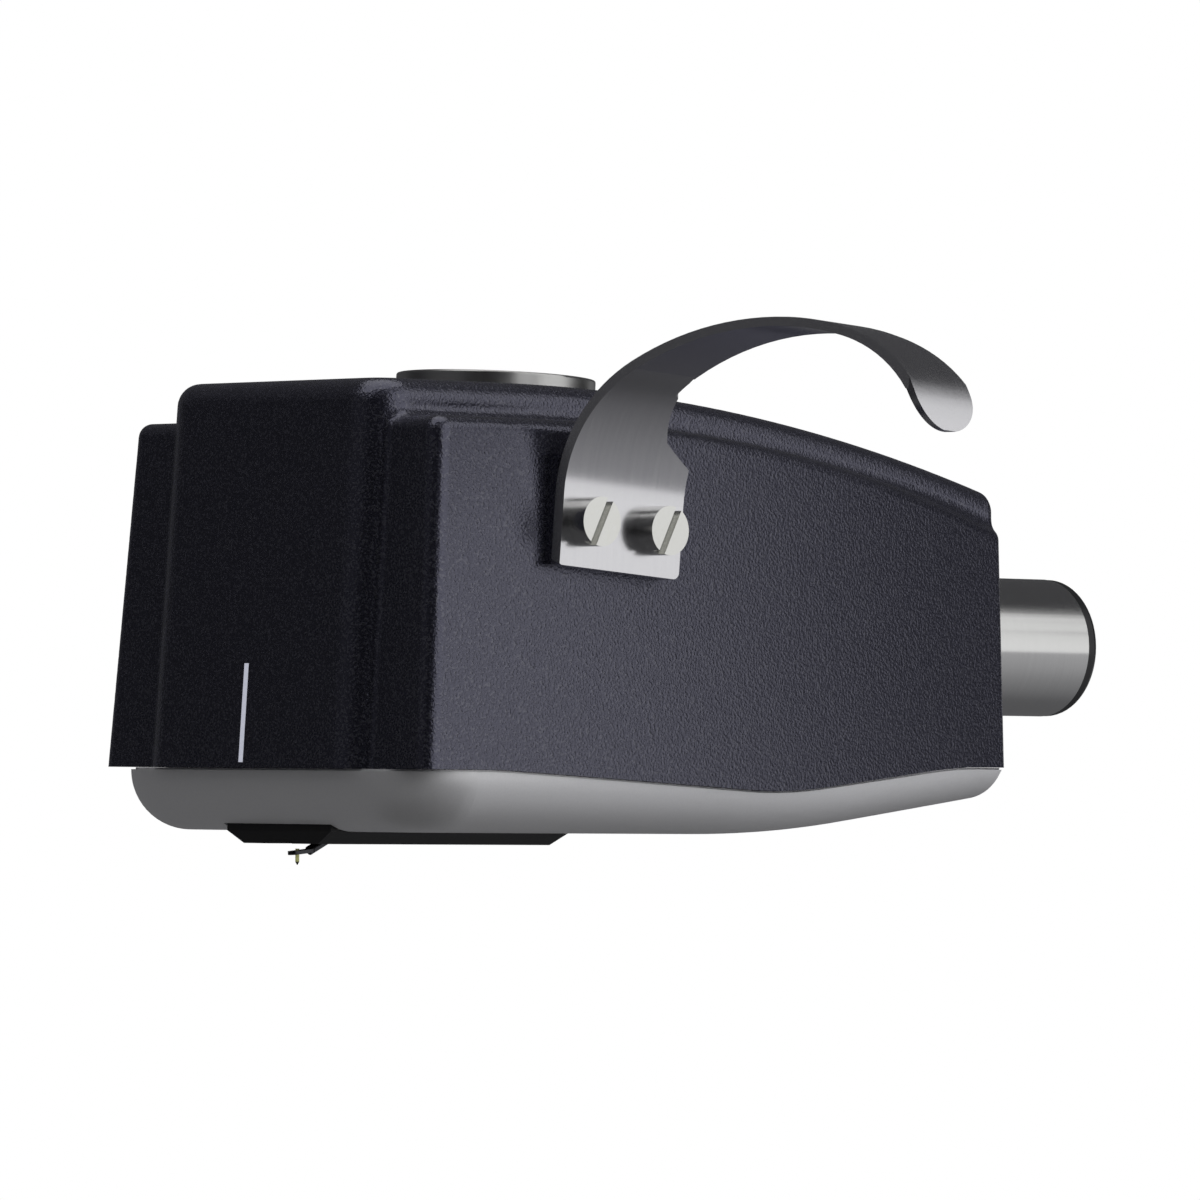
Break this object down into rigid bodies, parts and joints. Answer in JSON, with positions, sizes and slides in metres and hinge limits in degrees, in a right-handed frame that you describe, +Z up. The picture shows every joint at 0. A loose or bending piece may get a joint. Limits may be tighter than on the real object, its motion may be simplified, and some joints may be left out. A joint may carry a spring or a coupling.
{
  "type": "pickup cartridge with headshell",
  "caption": "Moving-coil turntable pickup built into a black ridged headshell, with a bayonet collet at the back, a metal pan underneath, a sprung stylus arm and an arched finger lift.",
  "frame": {"origin": "on the collet's axis, in the plane of the shell's rear face", "axes": "+X runs rearwards along the collet, +Z is up, the finger lift stands on the -Y side"},
  "size_m": [0.0619, 0.0484, 0.0297],
  "materials": {
    "textured_black_paint": "fine speckled satin",
    "satin_metal": "satin",
    "plain_steel": "turned",
    "white_paint": "matt",
    "polished_metal": "polished",
    "brushed_steel": "brushed",
    "nickel_screw": "turned nickel plate",
    "nickel_plate": "satin nickel plate",
    "black_insulator": "moulded",
    "gold_plate": "gold plate",
    "black_moulding": "moulded",
    "magnet_alloy": "ground",
    "soft_iron": "ground",
    "spring_wire": "drawn",
    "damper_rubber": "matt",
    "copper_winding": "enamelled wire",
    "cantilever_tube": "drawn",
    "diamond": "polished",
    "ivory_insulator": "moulded",
    "white_lead": "insulated wire",
    "blue_lead": "insulated wire",
    "green_lead": "insulated wire",
    "red_lead": "insulated wire"
  },
  "bodies": {
    "headshell": {"shell": "textured_black_paint", "base": "satin_metal", "base_screws": "plain_steel", "index_line": "white_paint", "top_badge": "polished_metal", "finger_lift": "brushed_steel", "finger_lift_screws": "nickel_screw", "collet": "nickel_plate", "locating_pin": "nickel_plate", "contact_carrier": "black_insulator", "contact_pins": "gold_plate", "collet_set_screw": "plain_steel", "generator_housing": "black_moulding", "generator_screws": "plain_steel", "magnet": "magnet_alloy", "front_pole_piece": "soft_iron", "rear_pole_piece": "soft_iron", "wire_clamp_screw": "plain_steel", "suspension_wire": "spring_wire", "terminal_block": "ivory_insulator", "terminal_pins": "gold_plate", "lead_white": "white_lead", "lead_blue": "blue_lead", "lead_green": "green_lead", "lead_red": "red_lead"},
    "damper_disc": {"damper": "damper_rubber"},
    "stylus_arm": {"armature": "soft_iron", "coil_left": "copper_winding", "coil_right": "copper_winding", "cantilever": "cantilever_tube", "stylus": "diamond"}
  },
  "joints": [
    {"name": "lateral_swing", "type": "hinge", "parent": "headshell", "child": "damper_disc", "pos_m": [-0.0368, 0, -0.0085], "axis": [-0.4384, 0, 0.8988], "range_deg": [-2, 2], "stiffness_Nm_per_rad": 0.008},
    {"name": "vertical_swing", "type": "hinge", "parent": "damper_disc", "child": "stylus_arm", "pos_m": [-0.0368, 0, -0.0085], "axis": [0, 1, 0], "range_deg": [-1, 4], "stiffness_Nm_per_rad": 0.008}
  ]
}
